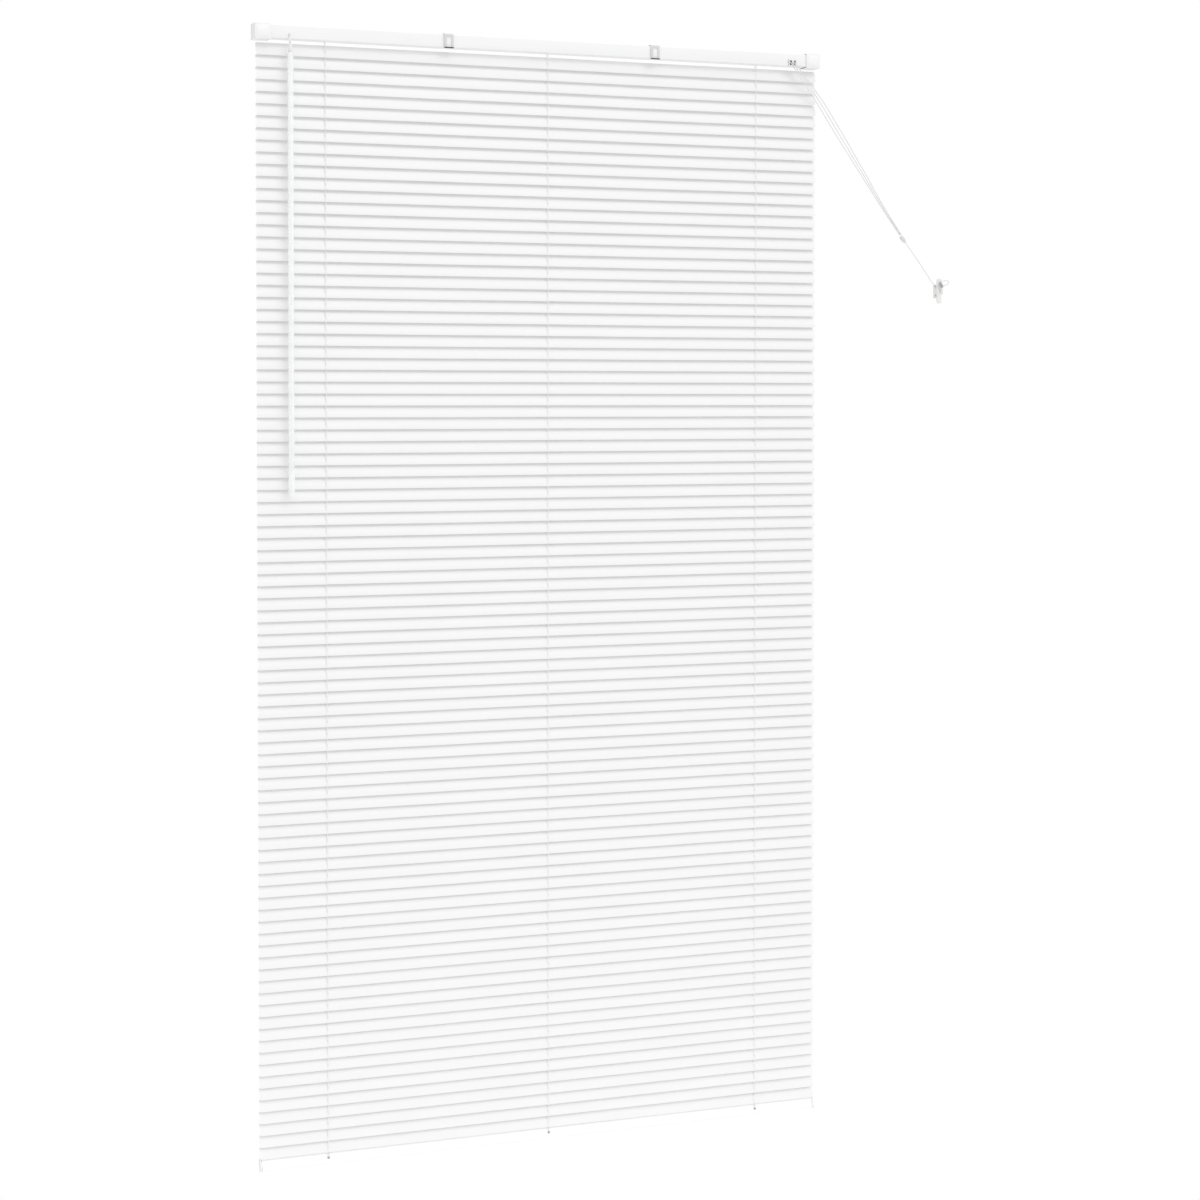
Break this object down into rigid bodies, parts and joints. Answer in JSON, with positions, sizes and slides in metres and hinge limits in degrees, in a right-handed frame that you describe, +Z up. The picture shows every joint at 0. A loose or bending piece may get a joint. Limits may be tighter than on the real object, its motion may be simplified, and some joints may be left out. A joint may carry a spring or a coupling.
{
  "type": "venetian blind",
  "caption": "White aluminium venetian blind with closed horizontal slats, headrail in box brackets, tilt wand, ladder cords, bottom rail and pull cords tied off on a wall cleat.",
  "frame": {"origin": "middle of the plane of the end brackets' top faces, midway along the headrail and on its centreline front to back", "axes": "+X along the headrail to the viewer's right, +Y away from the room to the wall, +Z up"},
  "size_m": [1.5015, 0.0431, 2.2113],
  "materials": {
    "rail_enamel": "satin",
    "slat_enamel": "satin",
    "white_plastic": "matt",
    "zinc_steel": "zinc plated",
    "clear_plastic": "gloss",
    "white_thread": "braided"
  },
  "bodies": {
    "frame": {"headrail": "rail_enamel", "end_bracket_left": "rail_enamel", "end_bracket_right": "rail_enamel", "mid_bracket_left": "rail_enamel", "mid_bracket_right": "rail_enamel", "drum_cradle_left": "white_plastic", "drum_cradle_middle": "white_plastic", "drum_cradle_right": "white_plastic", "tilter_housing": "white_plastic", "cord_lock_housing": "white_plastic", "lift_cord_left": "white_thread", "lift_cord_middle": "white_thread", "lift_cord_right": "white_thread", "ladder_left": "white_thread", "ladder_right": "white_thread", "ladder_middle_1": "white_thread", "pull_cord_1": "white_thread", "pull_cord_2": "white_thread", "pull_cord_3": "white_thread", "cord_equalizer": "white_plastic", "tail_cord": "white_thread", "cord_winding": "white_thread", "cord_tassel": "white_plastic", "wall_cleat": "white_plastic", "cleat_screw_top": "zinc_steel", "cleat_screw_bottom": "zinc_steel"},
    "gate_left": {"bracket_gate_left": "rail_enamel"},
    "gate_right": {"bracket_gate_right": "rail_enamel"},
    "tilt_shaft": {"tilt_rod": "zinc_steel", "ladder_drum_left": "white_plastic", "ladder_drum_middle": "white_plastic", "ladder_drum_right": "white_plastic", "tilter_gear": "white_plastic"},
    "worm": {"tilter_worm": "white_plastic"},
    "wand_hanger": {"wand_sleeve": "clear_plastic"},
    "wand": {"tilt_wand": "clear_plastic"},
    "lock_roller": {"cord_lock_roller": "zinc_steel"},
    "slat_1": {"slat_1": "slat_enamel"},
    "ladder_stretch_2": {"ladder_middle_2": "white_thread"},
    "slat_2": {"slat_2": "slat_enamel"},
    "ladder_stretch_3": {"ladder_middle_3": "white_thread"},
    "slat_3": {"slat_3": "slat_enamel"},
    "ladder_stretch_4": {"ladder_middle_4": "white_thread"},
    "slat_4": {"slat_4": "slat_enamel"},
    "ladder_stretch_5": {"ladder_middle_5": "white_thread"},
    "slat_5": {"slat_5": "slat_enamel"},
    "ladder_stretch_6": {"ladder_middle_6": "white_thread"},
    "slat_6": {"slat_6": "slat_enamel"},
    "ladder_stretch_7": {"ladder_middle_7": "white_thread"},
    "slat_7": {"slat_7": "slat_enamel"},
    "ladder_stretch_8": {"ladder_middle_8": "white_thread"},
    "slat_8": {"slat_8": "slat_enamel"},
    "rail_hanger": {"ladder_middle_end": "white_thread"},
    "bottom_rail": {"bottom_rail": "rail_enamel", "rail_cap_left": "white_plastic", "rail_cap_right": "white_plastic", "rail_plug_left": "white_plastic", "rail_plug_middle": "white_plastic", "rail_plug_right": "white_plastic"}
  },
  "joints": [
    {"name": "tilt", "type": "hinge", "parent": "frame", "child": "tilt_shaft", "pos_m": [0, 0, -0.015], "axis": [-1, 0, 0], "range_deg": [0, 96]},
    {"name": "lift", "type": "slide", "parent": "frame", "child": "rail_hanger", "axis": [0, 0, 1], "range_m": [0, 1.8628], "deforming": ["ladder_middle_end", "ladder_left", "ladder_right", "ladder_middle_1", "lift_cord_left", "lift_cord_middle", "lift_cord_right"]},
    {"name": "wand_swing", "type": "hinge", "parent": "frame", "child": "wand_hanger", "pos_m": [-0.532, -0.02, -0.037], "axis": [-1, 0, 0], "range_deg": [0, 40]},
    {"name": "gate_left", "type": "hinge", "parent": "frame", "child": "gate_left", "pos_m": [-0.584, -0.0143, -0.0012], "axis": [-1, 0, 0], "range_deg": [0, 90]},
    {"name": "gate_right", "type": "hinge", "parent": "frame", "child": "gate_right", "pos_m": [0.584, -0.0143, -0.0012], "axis": [-1, 0, 0], "range_deg": [0, 90]},
    {"name": "cord_lock", "type": "slide", "parent": "frame", "child": "lock_roller", "axis": [0, 0.8, 0.6], "range_m": [0, 0.004]},
    {"name": "worm_spin", "type": "hinge", "parent": "frame", "child": "worm", "pos_m": [-0.532, -0.00734, -0.01158], "axis": [0, 0.4226, 0.9063], "range_deg": [0, 1152]},
    {"name": "wand_spin", "type": "hinge", "parent": "wand_hanger", "child": "wand", "pos_m": [-0.532, -0.02, -0.0545], "axis": [0, 0, 1], "range_deg": [0, 1152]},
    {"name": "slat_tilt_1", "type": "hinge", "parent": "frame", "child": "slat_1", "pos_m": [0, 0, -0.18554], "axis": [-1, 0, 0], "range_deg": [0, 72]},
    {"name": "lift_2", "type": "slide", "parent": "frame", "child": "ladder_stretch_2", "axis": [0, 0, 1], "range_m": [0, 0.2748], "deforming": ["ladder_middle_2"]},
    {"name": "slat_tilt_2", "type": "hinge", "parent": "ladder_stretch_2", "child": "slat_2", "pos_m": [0, 0, -0.46322], "axis": [-1, 0, 0], "range_deg": [0, 72]},
    {"name": "lift_3", "type": "slide", "parent": "frame", "child": "ladder_stretch_3", "axis": [0, 0, 1], "range_m": [0, 0.5496], "deforming": ["ladder_middle_3"]},
    {"name": "slat_tilt_3", "type": "hinge", "parent": "ladder_stretch_3", "child": "slat_3", "pos_m": [0, 0, -0.7409], "axis": [-1, 0, 0], "range_deg": [0, 72]},
    {"name": "lift_4", "type": "slide", "parent": "frame", "child": "ladder_stretch_4", "axis": [0, 0, 1], "range_m": [0, 0.8244], "deforming": ["ladder_middle_4"]},
    {"name": "slat_tilt_4", "type": "hinge", "parent": "ladder_stretch_4", "child": "slat_4", "pos_m": [0, 0, -1.01858], "axis": [-1, 0, 0], "range_deg": [0, 72]},
    {"name": "lift_5", "type": "slide", "parent": "frame", "child": "ladder_stretch_5", "axis": [0, 0, 1], "range_m": [0, 1.0992], "deforming": ["ladder_middle_5"]},
    {"name": "slat_tilt_5", "type": "hinge", "parent": "ladder_stretch_5", "child": "slat_5", "pos_m": [0, 0, -1.29626], "axis": [-1, 0, 0], "range_deg": [0, 72]},
    {"name": "lift_6", "type": "slide", "parent": "frame", "child": "ladder_stretch_6", "axis": [0, 0, 1], "range_m": [0, 1.374], "deforming": ["ladder_middle_6"]},
    {"name": "slat_tilt_6", "type": "hinge", "parent": "ladder_stretch_6", "child": "slat_6", "pos_m": [0, 0, -1.5508], "axis": [-1, 0, 0], "range_deg": [0, 72]},
    {"name": "lift_7", "type": "slide", "parent": "frame", "child": "ladder_stretch_7", "axis": [0, 0, 1], "range_m": [0, 1.6257], "deforming": ["ladder_middle_7"]},
    {"name": "slat_tilt_7", "type": "hinge", "parent": "ladder_stretch_7", "child": "slat_7", "pos_m": [0, 0, -1.80534], "axis": [-1, 0, 0], "range_deg": [0, 72]},
    {"name": "lift_8", "type": "slide", "parent": "frame", "child": "ladder_stretch_8", "axis": [0, 0, 1], "range_m": [0, 1.8773], "deforming": ["ladder_middle_8"]},
    {"name": "slat_tilt_8", "type": "hinge", "parent": "ladder_stretch_8", "child": "slat_8", "pos_m": [0, 0, -2.05988], "axis": [-1, 0, 0], "range_deg": [0, 72]},
    {"name": "rail_tilt", "type": "hinge", "parent": "rail_hanger", "child": "bottom_rail", "pos_m": [0, 0, -2.19872], "axis": [-1, 0, 0], "range_deg": [0, 72]}
  ],
  "couplings": [
    {"joint": "worm_spin", "follows": "tilt", "ratio": 12},
    {"joint": "wand_spin", "follows": "tilt", "ratio": 12},
    {"joint": "slat_tilt_1", "follows": "tilt", "ratio": 0.75},
    {"joint": "lift_2", "follows": "lift", "ratio": 0.14752},
    {"joint": "slat_tilt_2", "follows": "tilt", "ratio": 0.75},
    {"joint": "lift_3", "follows": "lift", "ratio": 0.29503},
    {"joint": "slat_tilt_3", "follows": "tilt", "ratio": 0.75},
    {"joint": "lift_4", "follows": "lift", "ratio": 0.44255},
    {"joint": "slat_tilt_4", "follows": "tilt", "ratio": 0.75},
    {"joint": "lift_5", "follows": "lift", "ratio": 0.59006},
    {"joint": "slat_tilt_5", "follows": "tilt", "ratio": 0.75},
    {"joint": "lift_6", "follows": "lift", "ratio": 0.73758},
    {"joint": "slat_tilt_6", "follows": "tilt", "ratio": 0.75},
    {"joint": "lift_7", "follows": "lift", "ratio": 0.87267},
    {"joint": "slat_tilt_7", "follows": "tilt", "ratio": 0.75},
    {"joint": "lift_8", "follows": "lift", "ratio": 1.0078},
    {"joint": "slat_tilt_8", "follows": "tilt", "ratio": 0.75},
    {"joint": "rail_tilt", "follows": "tilt", "ratio": 0.75}
  ]
}
